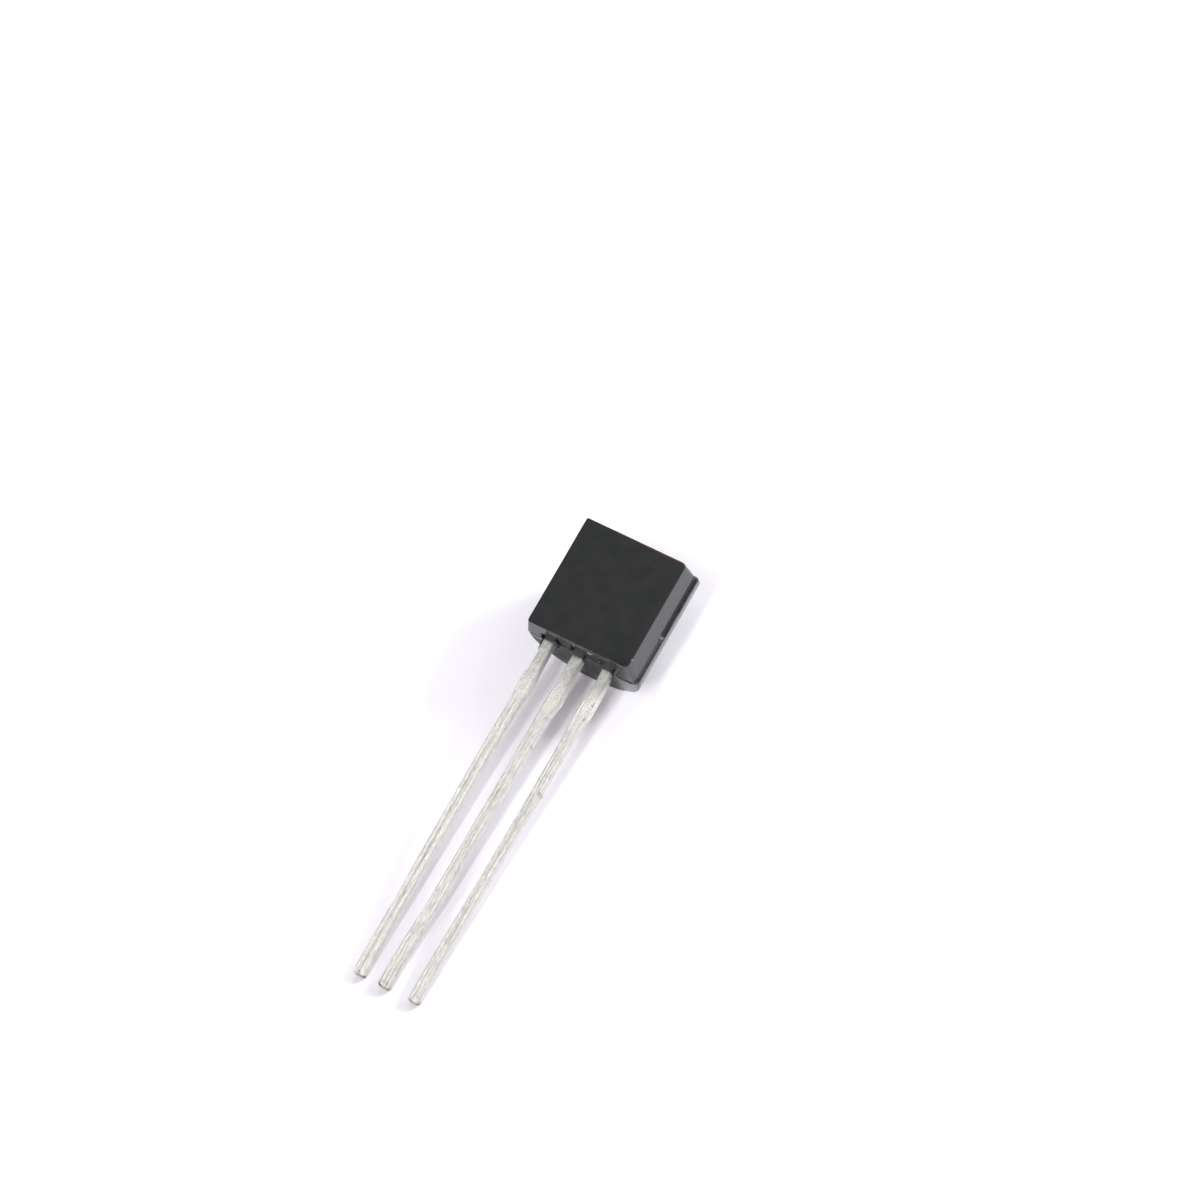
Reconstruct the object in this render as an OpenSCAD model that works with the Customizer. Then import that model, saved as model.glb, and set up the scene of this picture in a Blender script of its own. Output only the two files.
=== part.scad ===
// Small-signal transistor in a TO-92 package with straight leads, in millimetres.
// It lies as it comes to rest: flat face up, on the lead-end edge of its round back and on
// the three lead tips. The origin is under the middle of its box. The leads point along -Y.
//
// Each piece is drawn in the package's own axes and then laid down by at_rest():
// x across the leads, y up the package from its lead end, z out of the flat face,
// with z = 0 on the parting plane, where the two halves of the mould met.

/* [Moulded body] */
// Width across the parting line
body_w = 4.7; // [4.4:0.05:5.2]
// Height from the lead end to the far end
body_h = 4.62; // [4.5:0.02:5.2]
// Depth from the parting plane to the flat face
front_d = 1.16; // [1:0.02:1.6]
// Draft of the flat half's sides in degrees
side_draft = 10.5; // [4:0.5:14]
// Draft of the flat half's ends in degrees
end_draft = 4.5; // [1:0.5:8]
// Radius of the flat half's most rounded corner
corner_r = 0.2; // [0.1:0.02:0.4]
// Sideways step of the round half against the flat half, from a mould that closed off line
half_shift = 0.08; // [0:0.01:0.14]

/* [Ejector pit] */
// Diameter of the pit that the ejector pin leaves in the round back
pit_d = 1.6; // [1:0.05:2]
// Depth of the pit below the crest of the back
pit_depth = 0.34; // [0.2:0.02:0.5]
// Diameter of the pin's worn centre, which leaves a shallow second step
pit_step_d = 1.15; // [0.5:0.05:1.4]
// Depth of that second step
pit_step_depth = 0.06; // [0.02:0.01:0.12]
// Height of the pit's centre above the lead end
pit_y = 2.2; // [1.6:0.05:3]

/* [Hollows above the leads] */
// Depth of the hollows where the resin shrank back above the leads
hollow_d = 0.16; // [0.08:0.02:0.24]
// Height of those hollows
hollow_h = 0.5; // [0.3:0.05:0.8]
// Width of those hollows
hollow_w = 0.54; // [0.5:0.02:0.7]

/* [Mould flash] */
// Thickness of the resin that crept into the parting line
flash_t = 0.04; // [0.02:0.01:0.08]
// How far the widest flash stands out of each side
flash_w = 0.1; // [0.04:0.01:0.2]
// Length of the slivers left beside the leads
sliver_len = 0.62; // [0.2:0.02:1]
// Thickness of those slivers
sliver_t = 0.07; // [0.03:0.01:0.12]

/* [Leads] */
// Length of a lead outside the body
lead_len = 14.2; // [12.5:0.1:14.6]
// Width of a lead
lead_w = 0.43; // [0.36:0.01:0.5]
// Thickness of the lead frame
lead_t = 0.4; // [0.34:0.01:0.5]
// Distance between neighbouring leads where they leave the body
pitch = 1.24; // [1.2:0.01:1.34]
// Distance between neighbouring leads at their tips
tip_pitch = 1.16; // [1.1:0.01:1.4]
// Shift of the lead frame off the middle of the moulding
frame_shift = -0.18; // [-0.2:0.01:0.2]
// Sideways lean of the three leads at their tips
tip_lean = -0.1; // [-0.3:0.01:0.3]
// Distance from the body to the middle of the cut dam bar
dam_y = 1.9; // [1.5:0.05:2.4]
// Width of a lead at the stubs of the cut dam bar
dam_w = 0.57; // [0.52:0.01:0.75]
// Length of those stubs along the lead
dam_len = 0.5; // [0.3:0.05:0.8]
// Length of the taper from a stub back to the plain lead
dam_taper = 0.6; // [0.2:0.05:0.8]

/* [Lead frame inside the body] */
// Gap between neighbouring pieces of the lead frame
frame_gap = 0.26; // [0.2:0.02:0.34]
// Height of the bonding pads above the lead end
pad_y = 1.12; // [0.9:0.02:1.3]
// Length of a bonding pad across the leads
pad_w = 1; // [0.7:0.02:1.02]
// Height of a bonding pad
pad_h = 0.7; // [0.5:0.02:0.8]
// Width of the die paddle
paddle_w = 1.9; // [1.4:0.05:2.2]
// Height of the die paddle
paddle_h = 1.6; // [1.2:0.05:1.7]
// Radius of the notches in which the resin locks the frame
lock_r = 0.11; // [0.05:0.01:0.14]
// Height of the notches in the leads above the lead end
lock_y = 0.5; // [0.4:0.02:0.6]

/* [Die and bond wires] */
// Side of the square silicon die
die_w = 0.56; // [0.3:0.02:0.7]
// Thickness of the die
die_t = 0.18; // [0.1:0.01:0.25]
// Thickness of the die attach
attach_t = 0.02; // [0.01:0.005:0.04]
// Width of the attach that shows around the die
attach_rim = 0.04; // [0.02:0.01:0.08]
// Distance between the two bonding pads on the die
bond_pitch = 0.26; // [0.2:0.02:0.3]
// Diameter of a bond wire
wire_d = 0.05; // [0.03:0.005:0.06]
// Rise of a wire's arch above its chord
wire_rise = 0.34; // [0.2:0.02:0.5]
// Diameter of the ball bonds on the die
ball_d = 0.12; // [0.1:0.01:0.15]
// Diameter of the wedge bonds on the posts
wedge_d = 0.16; // [0.12:0.01:0.2]

/* [Hidden] */
$fn = 96;
eps = 0.01;

back_r = body_w / 2;
side_inset = front_d * tan(side_draft);
end_inset = front_d * tan(end_draft);
face_w = body_w - 2 * side_inset;
face_h = body_h - 2 * end_inset;

// The package tips until the lead tips and the round back's lead-end edge share one floor.
tilt = atan2(back_r - lead_t, lead_len);
back_end_y = body_h * cos(tilt) + back_r * sin(tilt);
tip_end_y = -lead_len * cos(tilt);
floor_z = back_r * cos(tilt);

// Corners of the flat half: right, far, then radius as a share of corner_r.
CORNERS = [[1, 1, 1], [1, 0, 0.7], [0, 0, 0.5], [0, 1, 0.3]];

// Flash outline along a side: height as a share of the body, then width as a share of flash_w.
FLASH = [[0.02, 0.25], [0.12, 0.6], [0.2, 0.3], [0.3, 0.35], [0.4, 0.9], [0.52, 1],
         [0.64, 0.75], [0.72, 0.35], [0.84, 0.5], [0.98, 0.2]];

// Slivers beside the leads: lead, side of that lead, then length as a share of sliver_len.
SLIVERS = [[-1, -1, 0.85], [-1, 1, 0.35], [0, -1, 0.5], [0, 1, 0.3], [1, -1, 0.45], [1, 1, 1]];

// Lead outline: distance from the body, then width.
LEAD_WIDTHS = [[0, lead_w],
               [dam_y - dam_len / 2 - dam_taper, lead_w],
               [dam_y - dam_len / 2, dam_w],
               [dam_y + dam_len / 2, dam_w],
               [dam_y + dam_len / 2 + dam_taper, lead_w],
               [lead_len, lead_w]];

die_y = pad_y + pad_h + frame_gap + paddle_h * 0.45;
die_top = attach_t + die_t;

// Middle of a lead at a distance from the body, for side -1, 0 or 1.
function lead_x(side, away) =
    side * (pitch + (tip_pitch - pitch) * away / lead_len)
    + frame_shift + tip_lean * away / lead_len;

// Lays a piece down from the package's own axes to its place at rest.
module at_rest() {
    translate([-half_shift / 2, -(back_end_y + tip_end_y) / 2, floor_z])
        rotate([tilt, 0, 0])
            children();
}

// Extrudes a profile drawn in x and z along y, upward from the lead end.
module along_y(length) {
    translate([0, length, 0]) rotate([90, 0, 0]) linear_extrude(length) children();
}

// Extrudes a profile drawn in y and z across the package.
module across_x(width) {
    translate([-width / 2, 0, 0]) rotate([90, 0, 90]) linear_extrude(width) children();
}

// Flat half of the moulding: four drafted walls that lean in toward the face.
module flat_half() {
    intersection() {
        along_y(body_h)
            polygon([[-body_w / 2, 0], [body_w / 2, 0], [face_w / 2, front_d], [-face_w / 2, front_d]]);
        across_x(body_w)
            polygon([[0, 0], [body_h, 0], [body_h - end_inset, front_d], [end_inset, front_d]]);
    }
}

// What a mould corner of radius r takes off the far right corner of the flat half. Its axis
// runs along the sloping edge where the side wall and the end wall would meet.
module corner_waste(r) {
    slope = atan(cos(side_draft) * tan(end_draft));
    spread = acos(sin(side_draft) * sin(end_draft));
    inset = r / cos(spread / 2);
    reach = r * 2;
    translate([body_w / 2, body_h, 0])
        rotate([slope, -side_draft, 0])
            translate([-inset * cos(spread / 2), -inset * sin(spread / 2), -front_d])
                difference() {
                    linear_extrude(front_d * 3)
                        polygon([[0, 0], [reach, 0], [reach, reach],
                                 [reach * cos(spread), reach * sin(spread)]]);
                    translate([0, 0, -eps]) cylinder(h = front_d * 3 + 2 * eps, r = r);
                }
}

// The wastes at all four corners.
module corner_wastes() {
    for (c = CORNERS)
        translate([0, c[1] * body_h, 0])
            mirror([1 - c[0], 0, 0])
                mirror([0, 1 - c[1], 0])
                    translate([0, -body_h, 0])
                        corner_waste(corner_r * c[2]);
}

// Round half of the moulding, below the parting plane.
module round_half() {
    along_y(body_h)
        translate([half_shift, 0])
            intersection() {
                circle(r = back_r);
                translate([-back_r, -back_r]) square([2 * back_r, back_r]);
            }
}

// Stepped pit that the ejector pin leaves in the crest of the round back.
module ejector_pit() {
    translate([half_shift, pit_y, -back_r]) {
        translate([0, 0, -eps]) cylinder(h = pit_depth + eps, d = pit_d);
        cylinder(h = pit_depth + pit_step_depth, d = pit_step_d);
    }
}

// Thin fins of resin that crept into the parting line on both sides, outside the wider half.
module parting_flash() {
    translate([0, 0, -flash_t / 2])
        linear_extrude(flash_t)
            for (edge = [-body_w / 2, body_w / 2 + half_shift])
                polygon([[edge / 2, FLASH[0][0] * body_h],
                         for (p = FLASH) [edge + sign(edge) * p[1] * flash_w, p[0] * body_h],
                         [edge / 2, FLASH[len(FLASH) - 1][0] * body_h]]);
}

// Slivers of resin between the body and the dam bar, tapering along both sides of each lead.
module lead_slivers() {
    for (s = SLIVERS) {
        edge = lead_x(s[0], 0) + s[1] * lead_w / 2;
        tip_edge = lead_x(s[0], sliver_len * s[2]) + s[1] * lead_w / 2;
        translate([0, 0, -lead_t])
            linear_extrude(lead_t)
                polygon([[edge - s[1] * lead_w / 4, eps],
                         [edge + s[1] * sliver_t * 1.4, eps],
                         [edge + s[1] * sliver_t, -sliver_len * s[2] * 0.6],
                         [tip_edge + s[1] * sliver_t * 0.3, -sliver_len * s[2]],
                         [tip_edge - s[1] * lead_w / 4, -sliver_len * s[2]]]);
    }
}

// Hollows in the lead end above the leads. They run out in the sloping end wall.
module hollows() {
    for (side = [-1, 0, 1])
        translate([lead_x(side, 0), 0, 0])
            across_x(hollow_w)
                polygon([[-eps, 0], [hollow_d, 0], [hollow_d * 0.9, hollow_h * 0.6],
                         [hollow_h * tan(end_draft), hollow_h], [-eps, hollow_h]]);
}

// Straight outside part of a lead, with the stubs of the cut dam bar.
module lead_strip(side) {
    last = len(LEAD_WIDTHS) - 1;
    polygon([for (p = LEAD_WIDTHS) [lead_x(side, p[0]) - p[1] / 2, -p[0]],
             for (k = [last:-1:0]) [lead_x(side, LEAD_WIDTHS[k][0]) + LEAD_WIDTHS[k][1] / 2,
                                    -LEAD_WIDTHS[k][0]]]);
}

// Post of an outer lead inside the body, with its bonding pad turned toward the middle.
module post(side) {
    translate([lead_x(side, 0), 0])
        scale([side, 1])
            difference() {
                union() {
                    translate([-lead_w / 2, -eps]) square([lead_w, pad_y + 2 * eps]);
                    translate([lead_w / 2 - pad_w, pad_y]) square([pad_w, pad_h]);
                }
                translate([lead_w / 2, lock_y]) circle(r = lock_r);
            }
}

// Paddle of the centre lead inside the body, which carries the die.
module paddle() {
    bottom = pad_y + pad_h + frame_gap;
    translate([lead_x(0, 0), 0])
        difference() {
            union() {
                translate([-lead_w / 2, -eps]) square([lead_w, bottom + 2 * eps]);
                translate([-paddle_w / 2, bottom]) square([paddle_w, paddle_h]);
            }
            for (side = [-1, 1]) {
                translate([side * lead_w / 2, lock_y]) circle(r = lock_r);
                translate([side * paddle_w / 2, bottom + paddle_h * 0.75]) circle(r = lock_r);
            }
        }
}

// A whole lead, stamped from one strip.
module lead(side) {
    translate([0, 0, -lead_t])
        linear_extrude(lead_t)
            union() {
                lead_strip(side);
                if (side == 0) paddle(); else post(side);
            }
}

// Thin square of attach between the paddle and the die.
module attach() {
    translate([lead_x(0, 0), die_y, attach_t / 2])
        cube([die_w + 2 * attach_rim, die_w + 2 * attach_rim, attach_t], center = true);
}

module die() {
    translate([lead_x(0, 0), die_y, attach_t + die_t / 2])
        cube([die_w, die_w, die_t], center = true);
}

// Bond wire from a pad on the die to an outer post, arched in an upright plane.
module bond_wire(side) {
    from = [lead_x(0, 0) + side * bond_pitch / 2, die_y, die_top + wire_d * 0.7];
    to = [lead_x(side, 0) + side * (lead_w / 2 - pad_w / 2), pad_y + pad_h / 2, wire_d * 0.7];
    span = to - from;
    flat_span = norm([span[0], span[1]]);
    chord = norm(span);
    arch_r = (chord * chord / 4 + wire_rise * wire_rise) / (2 * wire_rise);
    half_angle = asin(chord / 2 / arch_r);
    translate([from[0], from[1], die_top]) cylinder(h = wire_d * 1.5, d = ball_d);
    translate([to[0], to[1], 0]) cylinder(h = wire_d * 1.5, d = wedge_d);
    translate((from + to) / 2)
        rotate([0, 0, atan2(span[1], span[0])])
            rotate([0, -atan2(span[2], flat_span), 0])
                translate([0, 0, wire_rise - arch_r])
                    rotate([90, 0, 0])
                        rotate([0, 0, 90 - half_angle])
                            rotate_extrude(angle = 2 * half_angle)
                                translate([arch_r, 0]) circle(d = wire_d);
}

// Everything that the resin was moulded around.
module inserts() {
    for (side = [-1, 0, 1]) lead(side);
    attach();
    die();
    bond_wire(-1);
    bond_wire(1);
}

module body() {
    color([0.2, 0.21, 0.215])
        at_rest()
            difference() {
                union() {
                    difference() {
                        flat_half();
                        corner_wastes();
                    }
                    round_half();
                    parting_flash();
                    lead_slivers();
                }
                ejector_pit();
                hollows();
                inserts();
            }
}

module emitter_lead() {
    color([0.8, 0.79, 0.76]) at_rest() lead(-1);
}

module collector_lead() {
    color([0.8, 0.79, 0.76]) at_rest() lead(0);
}

module base_lead() {
    color([0.8, 0.79, 0.76]) at_rest() lead(1);
}

module die_attach() {
    color([0.6, 0.6, 0.62]) at_rest() attach();
}

module silicon_die() {
    color([0.35, 0.38, 0.45]) at_rest() die();
}

module emitter_bond_wire() {
    color([0.85, 0.65, 0.25]) at_rest() bond_wire(-1);
}

module base_bond_wire() {
    color([0.85, 0.65, 0.25]) at_rest() bond_wire(1);
}

body();
emitter_lead();
collector_lead();
base_lead();
die_attach();
silicon_die();
emitter_bond_wire();
base_bond_wire();
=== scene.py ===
# %% [markdown]
# TO-92 transistor, lying flat face up on a white table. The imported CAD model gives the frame:
# eight solids in metres, in one set of axes. This notebook keeps the die, its attach and the
# bond wires from it, and dresses the moulded body and the three leads as the real ones look:
# edges softened by the mould, resin flash, a sheared lead frame with its matte tin.

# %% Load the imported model
import math
import random

import bmesh
import bpy
import numpy as np
from mathutils import Matrix, Vector, noise


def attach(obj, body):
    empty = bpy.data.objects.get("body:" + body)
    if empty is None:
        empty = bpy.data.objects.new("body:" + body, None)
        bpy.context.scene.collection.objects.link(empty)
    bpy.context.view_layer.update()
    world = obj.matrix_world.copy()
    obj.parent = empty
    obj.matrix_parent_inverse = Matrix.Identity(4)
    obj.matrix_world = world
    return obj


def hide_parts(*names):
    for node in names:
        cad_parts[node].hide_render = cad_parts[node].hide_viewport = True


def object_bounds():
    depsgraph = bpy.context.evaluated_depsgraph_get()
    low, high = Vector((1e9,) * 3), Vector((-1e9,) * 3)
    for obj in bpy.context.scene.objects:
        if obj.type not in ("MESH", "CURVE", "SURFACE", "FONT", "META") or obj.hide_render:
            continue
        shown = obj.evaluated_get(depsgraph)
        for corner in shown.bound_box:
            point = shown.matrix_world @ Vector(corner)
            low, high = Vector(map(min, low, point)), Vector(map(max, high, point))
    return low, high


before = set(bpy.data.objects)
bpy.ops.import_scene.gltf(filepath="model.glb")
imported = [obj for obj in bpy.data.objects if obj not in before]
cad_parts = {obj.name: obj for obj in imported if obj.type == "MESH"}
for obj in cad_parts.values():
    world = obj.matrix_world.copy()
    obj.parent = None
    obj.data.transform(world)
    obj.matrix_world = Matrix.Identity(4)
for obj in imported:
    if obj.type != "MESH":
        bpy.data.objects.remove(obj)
CAD_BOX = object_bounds()
print("nodes:", ", ".join(sorted(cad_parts)))

# %% [markdown]
# A transistor is easiest to describe standing on its own axes: x across the leads, y up the
# package from its lead end, z out of the flat face, with z = 0 on the parting plane where the
# two halves of the mould met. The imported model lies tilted, because it rests on its lead tips
# and on one edge of its round back. So every piece here is drawn in millimetres in package
# axes, and one matrix lays it down.

# %% Package axes and sizes
MM = 0.001
BODY_W = 4.7
BODY_H = 4.62
FRONT_D = 1.16
SIDE_DRAFT = math.radians(10.5)
END_DRAFT = math.radians(4.5)
SIDE_INSET = FRONT_D * math.tan(SIDE_DRAFT)
END_INSET = FRONT_D * math.tan(END_DRAFT)
BACK_R = BODY_W / 2
LEAD_LEN = 14.2
LEAD_T = 0.4
HALF_SHIFT = 0.08
TILT = math.atan2(BACK_R - LEAD_T, LEAD_LEN)

REST_Y = CAD_BOX[0].y / MM + LEAD_LEN * math.cos(TILT)
REST_Z = BACK_R * math.cos(TILT)
LAY_DOWN = (Matrix.Diagonal((MM, MM, MM, 1))
            @ Matrix.Translation((-HALF_SHIFT / 2, REST_Y, REST_Z))
            @ Matrix.Rotation(TILT, 4, "X"))
STAND_UP = LAY_DOWN.inverted()
print(f"tilt {math.degrees(TILT):.2f} degrees, package origin at y {REST_Y:.3f} z {REST_Z:.3f} mm")

# %% [markdown]
# A mesh can be shaped by hand or by numbers. Here it is numbers, so these helpers read and
# write its vertices as an array, keep a mask on them, and lay a finished mesh down as a piece.
# A piece rides on the imported body and stands in for the CAD solids that it replaces.

# %% Helpers for meshes and pieces


def points_of(mesh):
    """Vertices of a mesh as an array with a row for each."""
    co = np.empty(len(mesh.vertices) * 3)
    mesh.vertices.foreach_get("co", co)
    return co.reshape(-1, 3)


def set_points(mesh, points):
    mesh.vertices.foreach_set("co", points.astype(np.float32).ravel())
    mesh.update()


def moved(points, matrix):
    m = np.array(matrix)
    return points @ m[:3, :3].T + m[:3, 3]


def store(mesh, attribute, values):
    """Keeps a number on each vertex, under a name that a material can read."""
    made = mesh.attributes.new(attribute, "FLOAT", "POINT")
    made.data.foreach_set("value", values.astype(np.float32))


def add_piece(name, mesh, slot, *nodes):
    """Lays a mesh that was drawn in package axes down on the table as a piece."""
    mesh.transform(LAY_DOWN)
    mesh.name = name
    piece = bpy.data.objects.new(name, mesh)
    bpy.context.scene.collection.objects.link(piece)
    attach(piece, "root")
    if nodes:
        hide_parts(*nodes)
    print(f"{name}: {len(mesh.polygons)} faces")


# %% [markdown]
# The photograph was taken from above with a long lens, a little from the right and from the
# lead side, and the frame is rolled. Its place and axes come from a fit to the package's own
# corners. A camera looks along its own -Z with +Y up, so the matrix's columns are the
# picture's right, up and back directions.

# %% Camera
CAMERA_AT = Vector((64.455, -63.506, 178.989)) * MM
LOOK = Vector((-0.32386, 0.35045, -0.87881)).normalized()
PICTURE_RIGHT = Vector((0.85392, 0.5082, -0.11203))

camera_data = bpy.data.cameras.new("camera")
camera_data.lens = 163.62
camera_data.sensor_width = 36
camera_data.clip_start = 0.001
camera_data.clip_end = 20
camera = bpy.data.objects.new("camera", camera_data)
bpy.context.scene.collection.objects.link(camera)
right = (PICTURE_RIGHT - LOOK * PICTURE_RIGHT.dot(LOOK)).normalized()
up = right.cross(LOOK)
turned = Matrix((right, up, -LOOK)).transposed().to_4x4()
camera.matrix_world = Matrix.Translation(CAMERA_AT) @ turned
bpy.context.scene.camera = camera
print("camera distance from the origin:", round(CAMERA_AT.length / MM, 1), "mm")

# %% [markdown]
# The table is a sheet of matte white paper, and the room around it gives an even light from
# all sides, a good quarter of all that falls on the table. To the camera itself the far room
# is plain white, like the picture's background, and a Light Path node tells the two apart. A
# studio backdrop would do as well, but it would stand in the way of the lamps that are low
# behind the object.

# %% Table and room
TABLE_HALF = 1.5
TABLE_WHITE = (0.865, 0.84, 0.90)
ROOM_LIGHT = (0.406, 0.406, 0.406)

scene = bpy.context.scene
scene.view_settings.view_transform = "Standard"


def link(tree, a, out, b, into):
    """Joins an output of node a to an input of node b."""
    tree.links.new(a.outputs[out], b.inputs[into])


world = bpy.data.worlds.new("white_room")
scene.world = world
world.use_nodes = True
tree = world.node_tree
tree.nodes.clear()
lit = tree.nodes.new("ShaderNodeBackground")
lit.inputs["Color"].default_value = (*ROOM_LIGHT, 1)
white = tree.nodes.new("ShaderNodeBackground")
white.inputs["Color"].default_value = (1, 1, 1, 1)
path = tree.nodes.new("ShaderNodeLightPath")
mix = tree.nodes.new("ShaderNodeMixShader")
out = tree.nodes.new("ShaderNodeOutputWorld")
link(tree, path, "Is Camera Ray", mix, 0)
link(tree, lit, 0, mix, 1)
link(tree, white, 0, mix, 2)
link(tree, mix, 0, out, 0)

corners = [(-TABLE_HALF, -TABLE_HALF, 0), (TABLE_HALF, -TABLE_HALF, 0),
           (TABLE_HALF, TABLE_HALF, 0), (-TABLE_HALF, TABLE_HALF, 0)]
table_mesh = bpy.data.meshes.new("table")
table_mesh.from_pydata(corners, [], [(0, 1, 2, 3)])
table = bpy.data.objects.new("table", table_mesh)
scene.collection.objects.link(table)

paper = bpy.data.materials.new("white_table")
paper.use_nodes = True
tree = paper.node_tree
tree.nodes.clear()
matte = tree.nodes.new("ShaderNodeBsdfDiffuse")
matte.inputs["Color"].default_value = (*TABLE_WHITE, 1)
out = tree.nodes.new("ShaderNodeOutputMaterial")
link(tree, matte, 0, out, 0)
table_mesh.materials.append(paper)
print("table:", 2 * TABLE_HALF, "m wide, room light:", ROOM_LIGHT[0])

# %% [markdown]
# Shadows tell where lamps stand and how wide they are. A wide soft shade lies left of the
# body, so wide lamps stand low behind it and to its right. Each lead has one narrow band of
# shade with a sharp edge under it, which only narrow lamps can throw, high up in front. The
# body hides the lamps at the back from the near ends of the leads, which is why these are
# darker. All directions, sizes and levels come from a fit to the shadows. The lit table comes
# out a little brighter than white, so it is plain white where no shade falls.

# %% Lamps
LAMP_DISTANCE = 0.6

# Name, azimuth and elevation in degrees, width and height in metres, light on a level table.
SOFTBOXES = (
    ("low_back_softbox", 97, 14, 0.30, 0.18, 0.106),
    ("low_back_lamp", 108, 15, 0.10, 0.10, 0.070),
    ("right_softbox", 50, 31, 0.16, 0.16, 0.351),
    ("high_right_softbox", 60, 47, 0.20, 0.18, 0.087),
    ("high_back_softbox", 117, 47, 0.25, 0.18, 0.040),
    ("overhead_softbox", 180, 83, 0.22, 0.22, 0.029),
    ("front_strip_lamp", 275, 50, 0.07, 0.20, 0.211),
    ("high_front_strip_lamp", 277, 66, 0.06, 0.16, 0.105),
    ("right_front_lamp", 305, 58, 0.10, 0.10, 0.022),
    ("left_front_lamp", 230, 60, 0.10, 0.10, 0.062),
)


def add_softbox(name, azimuth, elevation, width, height, level):
    """An oval lamp that faces the object and adds this level of light to a level table."""
    lamp = bpy.data.lights.new(name, "AREA")
    lamp.shape = "ELLIPSE"
    lamp.size = width
    lamp.size_y = height
    turn, rise = math.radians(azimuth), math.radians(elevation)
    direction = Vector((math.cos(turn) * math.cos(rise), math.sin(turn) * math.cos(rise),
                        math.sin(rise)))
    lamp.energy = level * (math.pi * LAMP_DISTANCE) ** 2 / direction.z
    holder = bpy.data.objects.new(name, lamp)
    holder.location = direction * LAMP_DISTANCE
    holder.rotation_mode = "QUATERNION"
    holder.rotation_quaternion = direction.to_track_quat("Z", "Y")
    scene.collection.objects.link(holder)
    print(f"{name}: {lamp.energy:.2f} W")


for softbox in SOFTBOXES:
    add_softbox(*softbox)

# %% [markdown]
# A material is a graph of nodes. Wired one by one, twenty nodes hide what they do, so each
# helper below adds one node. It takes numbers or (node, output) pairs and gives back such a
# pair, and a mask can then be written in one line.

# %% Helpers for shader nodes


def wire(tree, value, node, socket):
    """Sets a socket to a number, or joins a (node, output) pair to it."""
    if isinstance(value, tuple):
        link(tree, *value, node, socket)
    else:
        node.inputs[socket].default_value = value


def math_node(tree, operation, a, b, clamp=False):
    node = tree.nodes.new("ShaderNodeMath")
    node.operation = operation
    node.use_clamp = clamp
    wire(tree, a, node, 0)
    wire(tree, b, node, 1)
    return node, 0


def product(tree, a, b):
    return math_node(tree, "MULTIPLY", a, b)


def noise_node(tree, vector, scale, detail):
    """A Noise texture, whose scale may come from a group's input."""
    node = tree.nodes.new("ShaderNodeTexNoise")
    node.inputs["Detail"].default_value = detail
    node.inputs["Roughness"].default_value = 0.55
    link(tree, *vector, node, "Vector")
    wire(tree, scale, node, "Scale")
    return node, "Fac"


def ramp(tree, value, low, high, to_low=0.0, to_high=1.0):
    """A smooth step of value from low to high."""
    node = tree.nodes.new("ShaderNodeMapRange")
    node.interpolation_type = "SMOOTHSTEP"
    node.inputs["From Min"].default_value = low
    node.inputs["From Max"].default_value = high
    node.inputs["To Min"].default_value = to_low
    node.inputs["To Max"].default_value = to_high
    link(tree, *value, node, "Value")
    return node, 0


def attribute(tree, name):
    """The mask that store() kept on the mesh under this name."""
    node = tree.nodes.new("ShaderNodeAttribute")
    node.attribute_name = name
    return node, "Fac"


def stretched(tree, vector, scale):
    """The same coordinates with another scale along each axis."""
    node = tree.nodes.new("ShaderNodeMapping")
    node.inputs["Scale"].default_value = scale
    link(tree, *vector, node, "Vector")
    return node, "Vector"


def mix_colors(tree, mask, a, b):
    """Colour a where the mask is 0 and b where it is 1. Each is three numbers or a pair."""
    node = tree.nodes.new("ShaderNodeMix")
    node.data_type = "RGBA"
    link(tree, *mask, node, "Factor")
    for socket, value in ((6, a), (7, b)):
        if isinstance(value[0], bpy.types.Node):
            link(tree, *value, node, socket)
        else:
            node.inputs[socket].default_value = (*value, 1)
    return node, 2


def paint_over(tree, color, layers):
    """Paints layers of (mask, colour) over a colour, the last on top."""
    for mask, layer in layers:
        color = mix_colors(tree, mask, color, layer)
    return color


print("shader helpers are ready")

# %% [markdown]
# Two effects come back in several finishes. Fine grain is the tooth that sandblasted mould
# steel, sawn silicon or matte tin leaves: noise at two scales, given as a height and as a
# mask. Flecks are single specks, such as dust or bare spots, from the cell centres of a
# Voronoi texture. Each is a node group, so that one material can have it coarse and the next
# fine.

# %% Node groups for grain and flecks


def new_group(name, inputs, outputs):
    """A shader node group with a Vector input, these float inputs and these outputs."""
    group = bpy.data.node_groups.new(name, "ShaderNodeTree")
    group.interface.new_socket("Vector", in_out="INPUT", socket_type="NodeSocketVector")
    for socket, value in inputs.items():
        made = group.interface.new_socket(socket, in_out="INPUT", socket_type="NodeSocketFloat")
        made.default_value = value
    for socket in outputs:
        group.interface.new_socket(socket, in_out="OUTPUT", socket_type="NodeSocketFloat")
    return group, group.nodes.new("NodeGroupInput"), group.nodes.new("NodeGroupOutput")


def place_group(tree, group, vector, **values):
    """Places a node group in a material with its own values."""
    node = tree.nodes.new("ShaderNodeGroup")
    node.node_tree = group
    link(tree, *vector, node, "Vector")
    for socket, value in values.items():
        node.inputs[socket].default_value = value
    return node


grain_group, g_in, g_out = new_group("fine_grain", {"Scale": 12.0, "Patches": 2.0},
                                     ["Height", "Mask"])
fine = noise_node(grain_group, (g_in, "Vector"), (g_in, "Scale"), 4)
patches = noise_node(grain_group, (g_in, "Vector"), (g_in, "Patches"), 2)
both = math_node(grain_group, "ADD", fine, patches)
link(grain_group, *product(grain_group, both, 0.5), g_out, "Height")
link(grain_group, *ramp(grain_group, patches, 0.35, 0.65), g_out, "Mask")

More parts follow.
